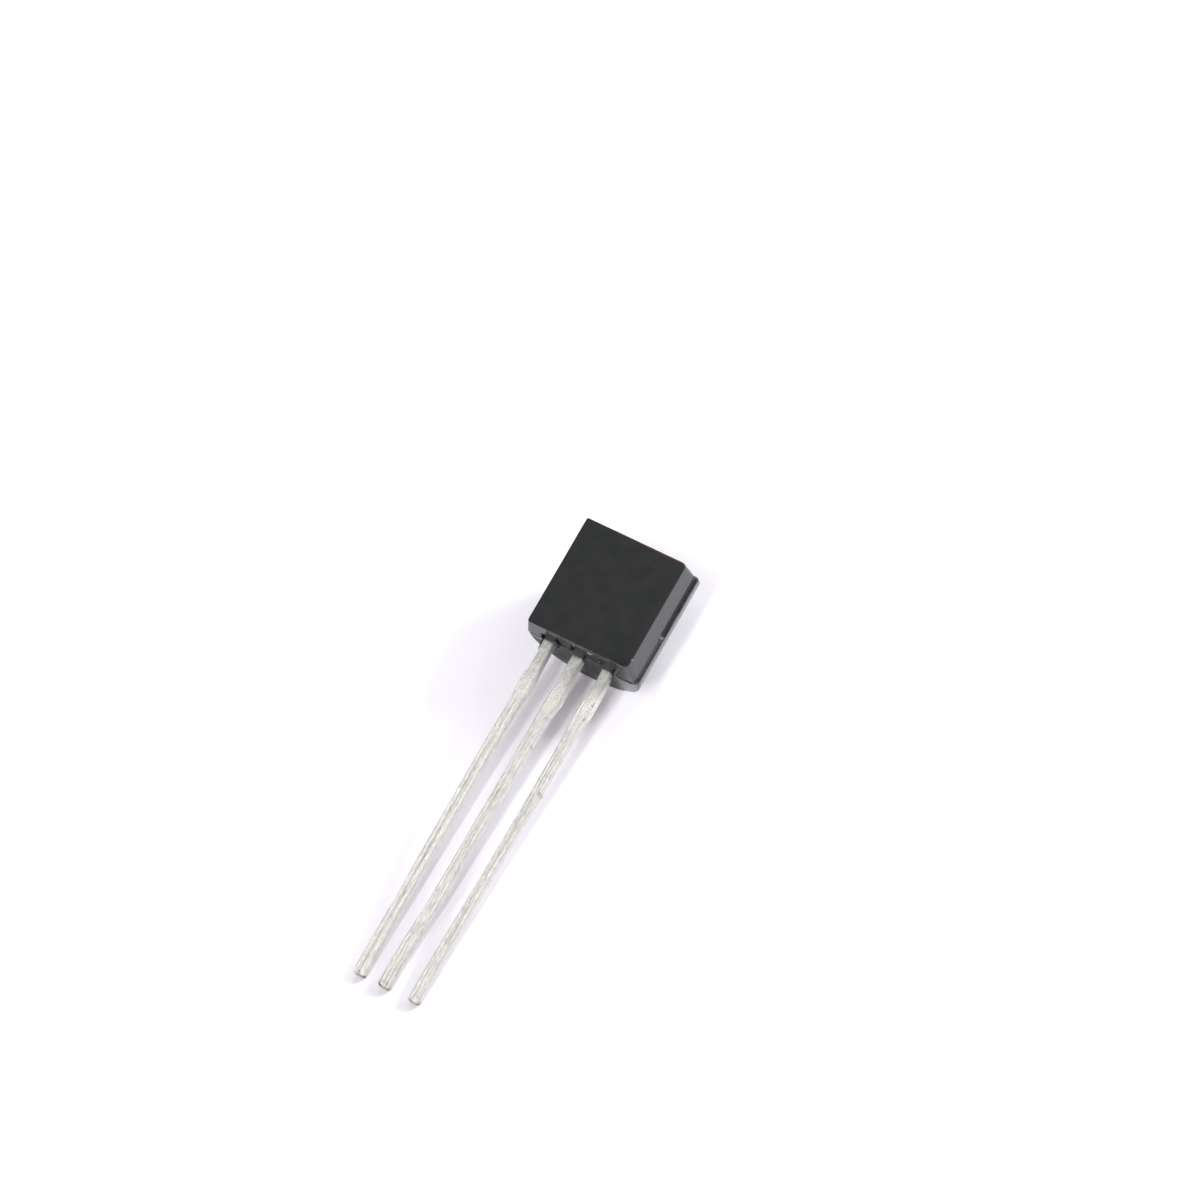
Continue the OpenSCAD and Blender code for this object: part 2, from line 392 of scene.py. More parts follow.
fleck_group, g_in, g_out = new_group("flecks", {"Scale": 6.0, "Radius": 0.2}, ["Mask"])
cells = fleck_group.nodes.new("ShaderNodeTexVoronoi")
link(fleck_group, g_in, "Vector", cells, "Vector")
link(fleck_group, g_in, "Scale", cells, "Scale")
inside = math_node(fleck_group, "SUBTRACT", (g_in, "Radius"), (cells, "Distance"))
link(fleck_group, *ramp(fleck_group, inside, 0.0, 0.08), g_out, "Mask")
print("node groups:", ", ".join(g.name for g in bpy.data.node_groups))

# %% [markdown]
# Every finish of this part changes with the place on the package: the face differs from the
# walls, and a lead near the body from its tip. So each material starts from the object's
# coordinates, turned back into package axes and millimetres.

# %% Helpers for materials


def new_material(name):
    material = bpy.data.materials.new(name)
    material.use_nodes = True
    tree = material.node_tree
    return material, tree, tree.nodes["Principled BSDF"]


def package_vector(tree):
    """Object coordinates turned back into package axes, in millimetres."""
    place = tree.nodes.new("ShaderNodeTexCoord")
    turn = tree.nodes.new("ShaderNodeMapping")
    turn.vector_type = "POINT"
    location, rotation, scale = STAND_UP.decompose()
    turn.inputs["Location"].default_value = location
    turn.inputs["Rotation"].default_value = rotation.to_euler()
    turn.inputs["Scale"].default_value = scale
    link(tree, place, "Object", turn, "Vector")
    return turn, "Vector"


def split_axes(tree, vector):
    """A node whose outputs X, Y and Z are the place along each axis."""
    node = tree.nodes.new("ShaderNodeSeparateXYZ")
    link(tree, *vector, node, 0)
    return node


def add_bump(tree, shader, height, distance, strength):
    bump = tree.nodes.new("ShaderNodeBump")
    bump.inputs["Strength"].default_value = strength
    bump.inputs["Distance"].default_value = distance
    link(tree, *height, bump, "Height")
    link(tree, bump, "Normal", shader, "Normal")


print("package axes in object coordinates:", [round(v, 3) for v in STAND_UP.to_translation()])

# %% [markdown]
# The epoxy is black, filled with glass beads and moulded in steel. The flat half of the mould
# is eroded to a matte tooth, and the round half is smoother. The middle of the lead end is
# torn where the gate and the flash broke off, and torn resin is dark and dull. The same dark
# colour is also painted shade: a shadow line along a step, shade in the hollows above the leads
# and round their rims, and shade on the end wall below and beside the right lead. Where the
# skin is thinnest, on the far edge of the face and at the far right corner of the parting line,
# it is a little brown. A pale colour marks a burr that was bent, and it is painted light as well:
# spots that lift the shade in the hollows, and a painted highlight line above the centre lead.
# One material does all of it: the mesh carries the dark and the pale places as attributes, and
# the place in package axes tells the face, the two halves and the thin edges apart.

# %% Black epoxy
TORN_AND_SHADE = "torn_and_shade"
PALE_AND_LIT = "pale_and_lit"
EPOXY_DARK = (0.0108, 0.0108, 0.0116)
EPOXY_LIGHT = (0.0140, 0.0135, 0.0137)
DUST = (0.06, 0.06, 0.055)
# Dark torn resin, and also painted shade at the step's edges, in the hollows and by the right
# lead.
TORN_EPOXY_AND_SHADE = (0.006, 0.0058, 0.0055)
THIN_SKIN = (0.06, 0.026, 0.019)
# Pale colour of a bent burr. It is also painted light in the hollows and a painted highlight line.
SCRAPED_EPOXY_AND_LIGHT = (0.30, 0.30, 0.29)
SPECULAR_TINT = (0.93, 0.985, 0.985)
EPOXY_TOOTH = 0.0000025

epoxy, tree, shader = new_material("black_epoxy")
place = package_vector(tree)
axes = split_axes(tree, place)
torn_and_shade = attribute(tree, TORN_AND_SHADE)
pale_and_lit = attribute(tree, PALE_AND_LIT)
grain = place_group(tree, grain_group, place, Scale=22.0, Patches=1.6)
dust = place_group(tree, fleck_group, place, Scale=4.0, Radius=0.07)

far_end = product(tree, ramp(tree, (axes, "Y"), BODY_H - 0.12, BODY_H - 0.06),
                  ramp(tree, (axes, "X"), -0.3, 0.6))
face_edge = ramp(tree, (axes, "Z"), FRONT_D - 0.12, FRONT_D - 0.05)
part_edge = product(tree, ramp(tree, (axes, "Z"), -0.16, -0.06),
                    ramp(tree, (axes, "Z"), 0.10, 0.04))
part_corner = product(tree, part_edge, ramp(tree, (axes, "X"), 1.8, 2.15))
thin_edge = product(tree, far_end, math_node(tree, "ADD", face_edge, part_corner))

tone = mix_colors(tree, (grain, "Mask"), EPOXY_DARK, EPOXY_LIGHT)
color = paint_over(tree, tone, (((dust, "Mask"), DUST), (torn_and_shade, TORN_EPOXY_AND_SHADE),
                                (thin_edge, THIN_SKIN), (pale_and_lit, SCRAPED_EPOXY_AND_LIGHT)))
link(tree, *color, shader, "Base Color")

face = ramp(tree, (axes, "Z"), FRONT_D - 0.035, FRONT_D - 0.008)
round_back = ramp(tree, (axes, "Z"), 0.0, -0.1)
rough = math_node(tree, "ADD", ramp(tree, (grain, "Height"), 0.3, 0.7, 0.26, 0.34),
                  product(tree, face, 0.12))
rough = math_node(tree, "SUBTRACT", rough, product(tree, round_back, 0.1))
rough = math_node(tree, "ADD", rough, product(tree, torn_and_shade, 0.35), clamp=True)
link(tree, *rough, shader, "Roughness")
gloss = math_node(tree, "SUBTRACT", ramp(tree, face, 0.0, 1.0, 1.0, 0.34),
                  product(tree, torn_and_shade, 0.7), clamp=True)
link(tree, *gloss, shader, "Specular IOR Level")
shader.inputs["IOR"].default_value = 1.5
shader.inputs["Specular Tint"].default_value = (*SPECULAR_TINT, 1)
add_bump(tree, shader, (grain, "Height"), EPOXY_TOOTH, 0.7)
print("epoxy nodes:", len(tree.nodes))

# %% [markdown]
# The moulded body is one solid. The CAD node has every face of it, but knife-sharp. Its mesh
# is copied, the thin flash is pressed back to the wall, and the copy is rebuilt on a fine
# grid of cells (a voxel remesh), which rounds all edges as the mould does, around the pit and
# the lead slots too. A bevel would need clean edges, which a solid made of cuts doesn't have.

# %% Moulded body: rebuild the CAD solid with softened edges
VOXEL = 0.033
WELD = 0.0005
SMOOTH_STEPS = 2


def remeshed(mesh):
    """A copy of a mesh rebuilt on a grid of cells. Its modifiers are applied."""
    obj = bpy.data.objects.new("remesh", mesh)
    scene.collection.objects.link(obj)
    weld = obj.modifiers.new("weld", "WELD")
    weld.merge_threshold = WELD
    remesh = obj.modifiers.new("remesh", "REMESH")
    remesh.mode = "VOXEL"
    remesh.voxel_size = VOXEL
    remesh.use_smooth_shade = True
    soften = obj.modifiers.new("soften", "SMOOTH")
    soften.factor = 0.5
    soften.iterations = SMOOTH_STEPS
    graph = bpy.context.evaluated_depsgraph_get()
    made = bpy.data.meshes.new_from_object(obj.evaluated_get(graph))
    bpy.data.objects.remove(obj)
    return made


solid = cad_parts["body"].data.copy()
solid.materials.clear()
points = moved(points_of(solid), STAND_UP)
points[:, 0] = points[:, 0].clip(-BODY_W / 2, BODY_W / 2 + HALF_SHIFT)
points[:, 1] = points[:, 1].clip(0, BODY_H)
set_points(solid, points)
shell = remeshed(solid)
print("body shell:", len(shell.polygons), "faces")

# %% [markdown]
# Small marks are carved as a sculptor would: the vertices near a place are pushed a little.
# In numbers, a brush is a mask that fades out round its place, and roughness is noise. These
# are the brushes.

# %% Helpers for carving


def smooth_step(value, low, high):
    """0 up to low, 1 from high on and an S-curve between. It falls where high is the lower."""
    t = ((value - low) / (high - low)).clip(0, 1)
    return t * t * (3 - 2 * t)


def hump(value, at, reach):
    """A bell curve that is 1 at this value and fades out at about twice this reach."""
    return np.exp(-(((value - at) / reach) ** 2))


def noise_at(points, scale, seed):
    """Smooth noise from -1 to 1 at each point."""
    shift = Vector((seed * 7.31, seed * 3.17, seed * 5.93))
    return np.array([noise.noise(Vector(p) * scale + shift) for p in points])


def noise_where(near, points, scale, seed):
    """The same noise at the chosen points alone and 0 at the others, because it is slow."""
    values = np.zeros(len(points))
    values[near] = noise_at(points[near], scale, seed)
    return values


def round_corner(points, chosen, corner_x, corner_y, radius):
    """Pulls points beyond a quarter circle of this radius back onto it. The two walls would
    meet at corner_x and corner_y, which may change with each point's height."""
    near_end = corner_y < BODY_H / 2
    centre_x = corner_x - np.sign(corner_x) * radius
    centre_y = corner_y + np.where(near_end, radius, -radius)
    dx, dy = points[:, 0] - centre_x, points[:, 1] - centre_y
    beyond = chosen & (dx * np.sign(corner_x) > 0) & (dy * np.where(near_end, -1, 1) > 0)
    away = np.hypot(dx, dy).clip(0.001, None)
    pull = np.where(beyond & (away > radius), radius / away, 1)
    points[:, 0] = np.where(pull < 1, centre_x + dx * pull, points[:, 0])
    points[:, 1] = np.where(pull < 1, centre_y + dy * pull, points[:, 1])


print("smallest cell that carving can use:", VOXEL, "mm")

# %% [markdown]
# The two mould halves leave their marks. At its far end the flat half is nearly upright, so
# the far wall is pushed out toward the face, and lowered as much as keeps it inside the CAD
# box. The right-hand corners are rounded, each by its own radius.

# %% Moulded body: far wall and corners
UPRIGHT_PUSH = 0.07
NEAR_CORNER_R = 0.2
FAR_CORNER_R = 0.12

points = points_of(shell)
x, y, z = points.copy().T
flat_half = z > 0.01
height = z.clip(0, FRONT_D) / FRONT_D
upright = UPRIGHT_PUSH * height * smooth_step(y, BODY_H - 0.4, BODY_H - 0.15)
points[:, 1] += upright
points[:, 2] -= upright * math.tan(TILT) * smooth_step(z, 0.9, FRONT_D)

round_corner(points, flat_half, BODY_W / 2 - SIDE_INSET * height, END_INSET * height,
             NEAR_CORNER_R)
back_side = BODY_W / 2 + HALF_SHIFT
round_corner(points, ~flat_half, back_side, 0.0, NEAR_CORNER_R)
round_corner(points, ~flat_half, back_side, BODY_H, FAR_CORNER_R)
print("vertices of the upright wall:", int((upright > 0.01).sum()))

# %% [markdown]
# The flat half sits a little to the left of the round one, so a dark ledge runs along the
# right side. Beyond a nick the foot of the wall stands back and the ledge is wide. At the nick
# a burr stands out, pale where it was bent, and the ledge's outer rim is rough. At the near end
# the round half leans in a little on the right, and a fine seam parts it from the flat half.

# %% Moulded body: ledge, nick and seam
NICK_Y = 1.93
FOOT_STEP = 0.05
SEAM_DEPTH = 0.035
LEDGE_RIM = 2.44

foot = smooth_step(x, 2.0, 2.2) * smooth_step(z, 0.0, 0.03) * smooth_step(z, 0.26, 0.10)
set_back = smooth_step(y, 1.80, 1.86) - 1.5 * hump(y, NICK_Y, 0.06)
points[:, 0] -= foot * (FOOT_STEP * set_back.clip(-0.7, 1) + 0.006)
burr = smooth_step(x, 2.1, 2.2) * smooth_step(z, 0.0, 0.03) * smooth_step(z, 0.24, 0.16)
burr *= hump(y, NICK_Y - 0.01, 0.045)

at_end = smooth_step(y, 0.2, 0.1)
right_part = smooth_step(x, 1.35, 1.55)
seam_z = -0.26 * right_part * smooth_step(x, 2.34, 2.0)
seam = hump(z, seam_z, 0.022) * (1 - 0.7 * right_part)
below = (seam_z - z).clip(0, 1.8)
lean = right_part * (0.04 * below - 0.045 * smooth_step(below, 0, 0.02))
points[:, 1] += at_end * (SEAM_DEPTH * seam + lean)

near = (x > 2.1) & (np.abs(z) < 0.2)
wander = noise_where(near, points, 4.0, 6) + 0.6 * noise_where(near, points, 12.0, 7)
rim_x = LEDGE_RIM - 0.09 * smooth_step(y, 1.86, 1.80) + 0.025 * wander
ledge = smooth_step(x, 2.21, 2.26) * smooth_step(x, rim_x, rim_x - 0.03)
ledge *= smooth_step(z, 0.055, 0.03) * smooth_step(z, -0.035, -0.015)
ledge *= 1 - 0.7 * smooth_step(wander, 0.35, 0.8)
torn_and_shade = np.maximum(ledge * (0.25 + 0.75 * smooth_step(y, 0.05, 0.45)), 0.8 * at_end * seam)
print("ledge and seam vertices:", int((torn_and_shade > 0.3).sum()))

# %% [markdown]
# Now the places that no drawing has. The middle of the lead end is recessed behind a slanted
# step beside the left lead, where the gate and its flash broke off, and it is torn and dark.
# The edges of the step get a painted shadow line, and the strip below the right lead and the
# wall beside it get painted shade, in the dark torn colour.

# %% Moulded body: torn middle of the lead end and painted shade beside it
RECESS = 0.05
TEAR_DEPTH = 0.045

left_edge = -1.66 + 0.40 * height
right_edge = 1.42 + 0.28 * height + 0.26 * z.clip(-2.2, 0)
middle = smooth_step(x, left_edge, left_edge + 0.05)
middle *= smooth_step(x, right_edge + 0.03, right_edge - 0.03)
middle *= smooth_step(z, 1.10, 1.02) * at_end
near = middle > 0
tear = 0.5 * noise_where(near, points, 3.0, 1) + 0.35 * noise_where(near, points, 9.0, 2)
tear = near * (0.5 + tear)
points[:, 1] += middle * smooth_step(z, -1.5, -0.5) * (RECESS + TEAR_DEPTH * tear.clip(0, 1))

upper = smooth_step(z, 0.55, 0.75)
# Painted shade: a shadow line on the step's edges, and shade below and beside the right lead.
step_shadow = hump(x, left_edge + 0.03, 0.035) + hump(x, right_edge - 0.02, 0.05)
step_shadow *= at_end * smooth_step(z, 1.12, 1.0) * smooth_step(z, -0.3, -0.1)
shade_below_lead = at_end * smooth_step(z, -0.15, -0.35) * smooth_step(x, 1.6, 1.05)
shade_beside_lead = smooth_step(x, 1.2, 1.3) * smooth_step(x - 0.2 * height, 2.0, 1.4)
shade_beside_lead *= at_end * smooth_step(z, -0.3, -0.2) * smooth_step(z, 1.08, 0.9)
for dark_place in (middle * (0.8 - 0.35 * upper - 0.25 * tear.clip(-0.4, 1)),
                   step_shadow.clip(0, 1), 0.7 * shade_below_lead, 0.85 * shade_beside_lead):
    torn_and_shade = np.maximum(torn_and_shade, dark_place)
print("deepest tear:", round(float((middle * (RECESS + TEAR_DEPTH * tear)).max()), 3), "mm")

# %% [markdown]
# Above each lead the resin shrank back into a hollow. A painted black outline of shade runs
# round its rim, its floor gets painted shade in patches, and pale spots in it are painted
# light that lifts the rest of that shade. The near right corner of the face was knocked, and
# a faint painted highlight line runs above the centre lead. Then the mesh gets its material and
# its two masks, and it is laid down.

# %% Moulded body: hollows, knocked corner and painted highlight
LEAD_EXITS = {"left": -1.42, "centre": -0.18, "right": 1.06}
HOLLOW_HALF = {"left": 0.27, "centre": 0.27, "right": 0.34}
HOLLOW_TOP = {"left": 0.52, "centre": 0.50, "right": 0.46}
HOLLOW_DEPTH = 0.05
KNOCK_PUSH = np.array([-0.3, 0.5, -0.8]) * 0.03

scraped_and_lit = 0.5 * burr
for name, exit_x in LEAD_EXITS.items():
    half, top = HOLLOW_HALF[name], HOLLOW_TOP[name]
    near = (np.abs(x - exit_x) < half + 0.1) & (y < 0.4) & (z > -0.1)
    ragged = noise_where(near, points, 6.0, 3)
    hollow = smooth_step(np.abs(x - exit_x) + 0.06 * ragged, half, half - 0.05)
    hollow *= smooth_step(z + 0.08 * ragged, top, top - 0.07)
    hollow *= smooth_step(z, -0.03, 0.0) * smooth_step(y, 0.35, 0.25)
    points[:, 1] += HOLLOW_DEPTH * hollow * (1 + 0.5 * ragged)
    spots = noise_where(near, points, 8.0, 5)
    # Painted shade: a dark outline round each hollow's rim and dark patches on its floor. The pale
    # spots are painted light.
    outline = 4 * hollow * (1 - hollow)
    torn_and_shade = np.maximum(torn_and_shade * (1 - hollow), hollow * (0.25 + 0.7 * spots).clip(0, 1))
    torn_and_shade = np.maximum(torn_and_shade, 0.95 * outline)
    painted_light_spots = (0.26 - 0.5 * spots).clip(0.02, 0.5)
    scraped_and_lit = np.maximum(scraped_and_lit, hollow * (1 - outline) * painted_light_spots)

knock = hump(x, 1.80, 0.30) * hump(y, 0.20, 0.20) * hump(z, FRONT_D, 0.16)
near = knock > 0.02
chips = near * (0.6 + 0.6 * noise_where(near, points, 6.0, 4))
points += (knock * chips)[:, None] * KNOCK_PUSH
torn_and_shade = np.maximum(torn_and_shade, 0.25 * knock)

# Painted highlight: a faint pale line along the end wall above the centre lead, in the scraped
# colour.
highlight_line = at_end * hump(z, 0.92, 0.035)
highlight_line *= smooth_step(x, -0.55, -0.3) * smooth_step(x, 0.8, 0.5)
near = highlight_line > 0.02
streaks = near * smooth_step(noise_where(near, points * [1, 1, 2], 5.0, 8), -0.1, 0.4)
scraped_and_lit = np.maximum(scraped_and_lit, 0.12 * highlight_line * streaks)

set_points(shell, points)
store(shell, TORN_AND_SHADE, torn_and_shade)
store(shell, PALE_AND_LIT, scraped_and_lit)
shell.materials.append(epoxy)
add_piece("moulded_body", shell, "epoxy", "body")
print("torn share of the body's vertices:", round(float((torn_and_shade > 0.1).mean()), 3))

# %% [markdown]
# Matte tin: the lead frame was plated before it was trimmed. It is a metal, so it has no
# diffuse colour of its own. Its look is its roughness and the tooth of the plating. Near the
# body, where the trimming tool hammered it, the tin has fine dark specks and a few pits at the
# stubs, and its colour is brighter there: partly fresher tin, partly painted light that lifts
# the shade which the body casts on it. Farther out the lines from drawing the strip show
# instead. There are dull specks and painted glints all over, a brown stain where the cutter
# opened the base metal, and black resin that bled onto the root. A darker layer on the right
# edge, the top and the right sides is partly sheared tin and partly painted shade. These are
# layers of colour, each with its own mask.

# %% Tin plating
STAIN = "stain"
SHEARED_AND_SHADE = "sheared_and_shade"
BLEED = "bleed"
TIN_DARK = (0.71, 0.695, 0.66)
TIN_LIGHT = (0.75, 0.735, 0.70)
TIN_TOOTH = (0.88, 0.865, 0.825)
HAMMERED_AND_LIT_TIN = (0.97, 0.955, 0.915)
HAMMER_SPECK = (0.56, 0.545, 0.50)
DRAWN_LINE = (0.54, 0.52, 0.485)
PIT = (0.30, 0.275, 0.22)
DULL_SPECK = (0.40, 0.37, 0.31)
GLINT = (0.97, 0.96, 0.93)
SHEARED_TIN_AND_SHADE = (0.47, 0.46, 0.445)
BROWN_STAIN = (0.16, 0.11, 0.07)
RESIN_BLEED = (0.075, 0.077, 0.078)
TIN_RELIEF = 0.00005

tin, tree, shader = new_material("matte_tin")
place = package_vector(tree)
axes = split_axes(tree, place)
grain = place_group(tree, grain_group, place, Scale=8.0, Patches=2.5)
pits = place_group(tree, fleck_group, place, Scale=6.0, Radius=0.13)
specks = place_group(tree, fleck_group, place, Scale=5.0, Radius=0.12)
glints = place_group(tree, fleck_group, place, Scale=7.0, Radius=0.10)
tooth = noise_node(tree, stretched(tree, place, (1, 0.3, 1)), 15.0, 3)
drawn = noise_node(tree, stretched(tree, place, (20, 0.4, 20)), 1.0, 3)
hammered = noise_node(tree, place, 17.0, 2)
bleed = attribute(tree, BLEED)

stubs = product(tree, ramp(tree, (axes, "Y"), -3.1, -2.5), ramp(tree, (axes, "Y"), -1.0, -1.3))
near_body = product(tree, ramp(tree, (axes, "Y"), -2.8, -1.7),
                    ramp(tree, (axes, "Y"), -0.6, -1.2, 0.45, 0.85))
far_out = math_node(tree, "SUBTRACT", 1.0, near_body)
hammer_marks = product(tree, ramp(tree, hammered, 0.52, 0.66), near_body)
drawn_lines = product(tree, ramp(tree, drawn, 0.54, 0.68, 0, 0.50), far_out)
stub_pits = product(tree, (pits, "Mask"), stubs)

tone = mix_colors(tree, (grain, "Mask"), TIN_DARK, TIN_LIGHT)
color = paint_over(tree, tone, (
    (ramp(tree, tooth, 0.36, 0.64), TIN_TOOTH),
    # Partly fresher tin, partly painted light: brighter near the body, where the body shades the
    # leads.
    (near_body, HAMMERED_AND_LIT_TIN),
    (product(tree, hammer_marks, 0.9), HAMMER_SPECK),
    (drawn_lines, DRAWN_LINE),
    (product(tree, stub_pits, 0.8), PIT),
    (product(tree, (specks, "Mask"), 0.6), DULL_SPECK),
    # Painted glints: bright specks in the tin's colour.
    (product(tree, (glints, "Mask"), 0.7), GLINT),
    # Partly sheared tin, partly painted shade on the right edge, the top groove and the right
    # sides.
    (attribute(tree, SHEARED_AND_SHADE), SHEARED_TIN_AND_SHADE),
    (attribute(tree, STAIN), BROWN_STAIN),
    (bleed, RESIN_BLEED),
))
link(tree, *color, shader, "Base Color")
link(tree, *ramp(tree, bleed, 0.0, 1.0, 1.0, 0.0), shader, "Metallic")
link(tree, *ramp(tree, (grain, "Height"), 0.3, 0.7, 0.44, 0.62), shader, "Roughness")
relief = math_node(tree, "ADD", product(tree, (grain, "Height"), 0.5), product(tree, drawn, 0.8))
relief = math_node(tree, "ADD", relief, product(tree, tooth, 0.6))
add_bump(tree, shader, relief, TIN_RELIEF, 1.0)
print("tin nodes:", len(tree.nodes))

# %% [markdown]
# Each lead was punched from a strip, and no two came out alike: each is a little bent, and
# wider at the stubs where the dam bar between the leads was cut away. A straight CAD bar can't
# show that, so its course is a table. Each mark is a row of numbers as well: smudges only
# stain, and nicks push the edge in or out.

# %% Leads: measured courses and marks
# Distance from the body, width, and middle of the lead across the package.
LEAD_COURSES = {
    "left": [(-0.05, 0.43, -1.42), (0.1, 0.435, -1.42), (0.6, 0.43, -1.39),
             (1.15, 0.455, -1.385), (1.5, 0.565, -1.38), (1.9, 0.595, -1.37),
             (2.35, 0.48, -1.395), (3.0, 0.44, -1.40), (5.2, 0.433, -1.425),
             (6.5, 0.425, -1.415), (8.5, 0.425, -1.415), (10.8, 0.435, -1.385),
             (12.9, 0.462, -1.36), (14.2, 0.47, -1.335)],
    "centre": [(-0.05, 0.43, -0.175), (0.08, 0.47, -0.135), (0.7, 0.47, -0.14),
               (1.15, 0.47, -0.13), (1.5, 0.53, -0.115), (1.9, 0.58, -0.11),
               (2.4, 0.495, -0.165), (3.0, 0.44, -0.165), (5.2, 0.42, -0.18),
               (8.5, 0.405, -0.21), (10.8, 0.42, -0.22), (12.2, 0.455, -0.275),
               (13.2, 0.46, -0.29), (14.2, 0.47, -0.275)],
    "right": [(-0.05, 0.37, 1.06), (0.1, 0.395, 1.115), (0.4, 0.42, 1.14),
              (0.7, 0.45, 1.16), (1.15, 0.48, 1.15), (1.5, 0.52, 1.13),
              (1.9, 0.545, 1.115), (2.35, 0.435, 1.075), (3.0, 0.40, 1.105),
              (5.2, 0.38, 1.085), (8.5, 0.36, 1.03), (10.8, 0.385, 1.005),
              (12.8, 0.425, 0.99), (14.2, 0.44, 0.985)],
}

# Marks: x, y and radius, then how strong the stain is or how far the edge moves out.
SMUDGES = {
    "left": [(-1.44, -5.5, 0.05, 0.5)],
    "centre": [(-0.02, -2.65, 0.06, 0.8), (0.02, -3.84, 0.06, 0.7)],
    "right": [(1.30, -1.49, 0.06, 0.9), (1.30, -2.06, 0.06, 0.8), (1.24, -5.29, 0.07, 0.9)],
}
NICKS = {
    "left": [(-1.18, -1.78, 0.08, -0.02)],
    "centre": [(-0.42, -2.44, 0.07, 0.02), (0.14, -2.1, 0.07, -0.02)],
    "right": [(1.30, -2.06, 0.07, 0.03), (1.24, -5.29, 0.06, 0.035), (0.88, -2.4, 0.08, -0.015)],
}


def course(name, away):
    """Width and middle of a lead at these distances from the body."""
    table = np.array(LEAD_COURSES[name])
    return (np.interp(away, table[:, 0], table[:, k]) for k in (1, 2))


for name in LEAD_COURSES:
    width, middle = course(name, 1.9)
    print(f"{name} lead at the stubs: {width:.3f} mm wide, {middle:.3f} mm off the middle")

# %% [markdown]
# The section is a rectangle with rolled edges. The punch left the right edge sharp at the
# stubs, and beyond them it is rolled off and the upper side has two shallow furrows. A loft
# repeats the section every 0.06 mm along the lead and closes both ends. A curve with a bevel
# would be quicker, but it couldn't change its edges along the way. The lead is a hair thinner
# than the strip, so that its ripple stays inside the CAD box.

# %% Leads: section and loft
THICK = 0.385
ROLLED_LEFT = 0.045
ROLLED_RIGHT = 0.085
SHARP_RIGHT = 0.04
FURROW = {"left": 0.0060, "centre": 0.0026, "right": 0.0036}
RIDGE_AT = 0.22
RIDGE_PITCH = 1.05
TIP_ROUND = 0.09
TIP_SHRINK = 0.35


def rolled_rectangle(width, thick, right):
    """Points around a rectangle with rolled corners, from the upper left, x and z."""
    corners = [(-1, 1, ROLLED_LEFT), (1, 1, right), (1, -1, right), (-1, -1, ROLLED_LEFT)]
    outline = []
    for turn, count in enumerate((28, 9, 16, 9)):
        start_x, start_z, start_r = corners[turn]
        end_x, end_z, end_r = corners[(turn + 1) % 4]
        start = np.array([start_x * (width / 2 - start_r), start_z * (thick / 2 - start_r)])
        end = np.array([end_x * (width / 2 - end_r), end_z * (thick / 2 - end_r)])
        outward = np.array([math.sin(turn * math.pi / 2), math.cos(turn * math.pi / 2)])
        for share in np.linspace(0, 1, count):
            outline.append((start + outward * start_r) * (1 - share)
                           + (end + outward * end_r) * share)
        for bend in (0.25, 0.5, 0.75):
            angle = (turn + bend) * math.pi / 2
            outline.append(end + end_r * np.array([math.sin(angle), math.cos(angle)]))
    return np.array(outline) - np.array([0, thick / 2])


def lead_rings(name, distances):
    """Rings of points round the lead, one at each distance from the body."""
    rings = []
    for away in distances:
        width, middle = course(name, away)
        bulge = max(0.0, (away - LEAD_LEN + TIP_ROUND) / TIP_ROUND)
        end = 1 - TIP_SHRINK * (1 - math.sqrt(1 - bulge ** 2))
        fade = smooth_step(np.array(away), 2.2, 3.2)
        section = rolled_rectangle(width, THICK, SHARP_RIGHT + (ROLLED_RIGHT - SHARP_RIGHT) * fade)
        u = section[:, 0] / (width / 2)
        upper = smooth_step(section[:, 1], -0.05, -0.005)
        wave = np.cos(2 * math.pi * (u - RIDGE_AT) / RIDGE_PITCH) - 1
        section[:, 1] += FURROW[name] * fade * upper * wave
        section = (section - [0, -THICK / 2]) * end + [0, -THICK / 2]
        ring = [section[:, 0] + middle, np.full(len(u), -away), section[:, 1]]
        rings.append(np.column_stack(ring))
    return np.array(rings)


def loft(rings):
    """A closed mesh through rings of points, with an end cap on each end."""
    count, around, _ = rings.shape
    quads = []
    for r in range(count - 1):
        for k in range(around):
            following = (k + 1) % around
            quads.append((r * around + k, (r + 1) * around + k,
                          (r + 1) * around + following, r * around + following))
    caps = [tuple(range(around)), tuple(reversed(range((count - 1) * around, count * around)))]
    mesh = bpy.data.meshes.new("loft")
    mesh.from_pydata(rings.reshape(-1, 3).tolist(), [], quads + caps)
    return mesh


print("points in a section:", len(rolled_rectangle(0.43, THICK, ROLLED_RIGHT)))

# %% [markdown]
# The outside of a lead is lofted, then rippled by noise and nicked. Inside the body there is
# no need for that: the post or the paddle is the CAD solid, cut off just behind the wall, and
# it joins the outside in one mesh.

# %% Leads: mesh
RING_STEP = 0.06
CUT_Y = 0.09
RIPPLE = 0.003
TIP_STEPS = np.array([1.0, 0.7, 0.45, 0.25, 0.1, 0.02, 0.0])


def inner_piece(node):
    """The part of a CAD lead inside the body, in package axes, cut off at the wall."""
    mesh = bmesh.new()
    mesh.from_mesh(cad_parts[node].data)
    bmesh.ops.transform(mesh, matrix=STAND_UP, verts=mesh.verts)
    bmesh.ops.remove_doubles(mesh, verts=mesh.verts, dist=WELD)
    everything = mesh.verts[:] + mesh.edges[:] + mesh.faces[:]
    cut = bmesh.ops.bisect_plane(mesh, geom=everything, plane_co=(0, CUT_Y, 0),
                                 plane_no=(0, -1, 0), clear_outer=True, dist=0.0001)
    edges = [e for e in cut["geom_cut"] if isinstance(e, bmesh.types.BMEdge)]
    bmesh.ops.holes_fill(mesh, edges=edges, sides=0)
    made = bpy.data.meshes.new("inner")
    mesh.to_mesh(made)
    return made


